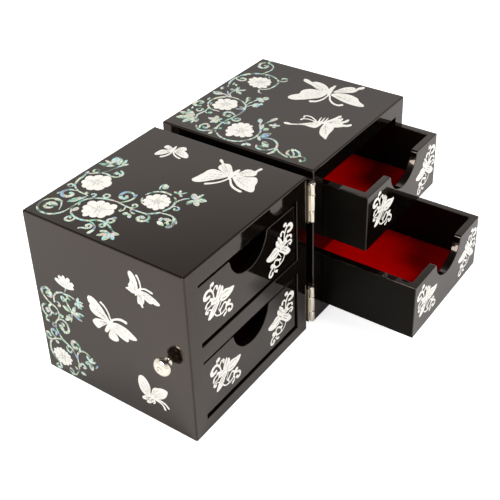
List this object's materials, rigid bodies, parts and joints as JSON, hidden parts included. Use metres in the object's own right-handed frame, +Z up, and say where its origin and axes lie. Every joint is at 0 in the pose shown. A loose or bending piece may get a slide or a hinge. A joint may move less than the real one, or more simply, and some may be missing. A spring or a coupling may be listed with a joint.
{
  "type": "double lidded jewelry box",
  "caption": "Lacquered jewelry box of hinged halves that fold face to face, each half holding drawers with finger scoops.",
  "frame": {"origin": "on the ground, under the middle of the whole box as it stands open with the right drawers pulled out", "axes": "+X from the left half to the right half, -Y out of the drawer fronts, +Z up; the hinge axis stands in the plane x = 0"},
  "size_m": [0.3076, 0.2194, 0.14],
  "materials": {
    "black_lacquer": "high gloss black lacquer on wood board",
    "red_felt": "short red felt",
    "nickel": "bright nickel plate",
    "steel": "bright steel",
    "mother_of_pearl": "polished shell inlay under clear lacquer"
  },
  "bodies": {
    "right_case": {"right_top_panel": "black_lacquer", "right_base_panel": "black_lacquer", "right_outer_side": "black_lacquer", "right_hinge_side": "black_lacquer", "right_back_panel": "black_lacquer", "right_shelf": "black_lacquer", "right_knob": "nickel", "right_knob_stud": "steel", "upper_hinge_right_leaf": "nickel", "upper_hinge_right_top_screw": "steel", "upper_hinge_right_bottom_screw": "steel", "lower_hinge_right_leaf": "nickel", "lower_hinge_right_top_screw": "steel", "lower_hinge_right_bottom_screw": "steel"},
    "hinge_pins": {"upper_hinge_pin": "steel", "lower_hinge_pin": "steel"},
    "left_case": {"left_top_panel": "black_lacquer", "left_base_panel": "black_lacquer", "left_outer_side": "black_lacquer", "left_hinge_side": "black_lacquer", "left_back_panel": "black_lacquer", "left_shelf": "black_lacquer", "left_knob": "nickel", "left_knob_stud": "steel", "upper_hinge_left_leaf": "nickel", "upper_hinge_left_top_screw": "steel", "upper_hinge_left_bottom_screw": "steel", "lower_hinge_left_leaf": "nickel", "lower_hinge_left_top_screw": "steel", "lower_hinge_left_bottom_screw": "steel"},
    "right_upper_drawer": {"right_upper_drawer_front": "black_lacquer", "right_upper_drawer_left_side": "black_lacquer", "right_upper_drawer_right_side": "black_lacquer", "right_upper_drawer_back": "black_lacquer", "right_upper_drawer_bottom": "black_lacquer", "right_upper_drawer_lining": "red_felt"},
    "right_lower_drawer": {"right_lower_drawer_front": "black_lacquer", "right_lower_drawer_left_side": "black_lacquer", "right_lower_drawer_right_side": "black_lacquer", "right_lower_drawer_back": "black_lacquer", "right_lower_drawer_bottom": "black_lacquer", "right_lower_drawer_lining": "red_felt"},
    "left_upper_drawer": {"left_upper_drawer_front": "black_lacquer", "left_upper_drawer_left_side": "black_lacquer", "left_upper_drawer_right_side": "black_lacquer", "left_upper_drawer_back": "black_lacquer", "left_upper_drawer_bottom": "black_lacquer", "left_upper_drawer_lining": "red_felt"},
    "left_lower_drawer": {"left_lower_drawer_front": "black_lacquer", "left_lower_drawer_left_side": "black_lacquer", "left_lower_drawer_right_side": "black_lacquer", "left_lower_drawer_back": "black_lacquer", "left_lower_drawer_bottom": "black_lacquer", "left_lower_drawer_lining": "red_felt"}
  },
  "joints": [
    {"name": "pins_turn_in_right_leaves", "type": "hinge", "parent": "right_case", "child": "hinge_pins", "pos_m": [0, -0.0319, 0.07], "axis": [0, 0, -1], "range_deg": [-90, 0]},
    {"name": "left_leaves_turn_on_pins", "type": "hinge", "parent": "hinge_pins", "child": "left_case", "pos_m": [0, -0.0319, 0.07], "axis": [0, 0, -1], "range_deg": [-90, 0]},
    {"name": "right_upper_drawer_slide", "type": "slide", "parent": "right_case", "child": "right_upper_drawer", "axis": [0, -1, 0], "range_m": [-0.0388, 0.0612]},
    {"name": "right_lower_drawer_slide", "type": "slide", "parent": "right_case", "child": "right_lower_drawer", "axis": [0, -1, 0], "range_m": [-0.0809, 0.0191]},
    {"name": "left_upper_drawer_slide", "type": "slide", "parent": "left_case", "child": "left_upper_drawer", "axis": [0, -1, 0], "range_m": [0, 0.1]},
    {"name": "left_lower_drawer_slide", "type": "slide", "parent": "left_case", "child": "left_lower_drawer", "axis": [0, -1, 0], "range_m": [0, 0.1]}
  ]
}
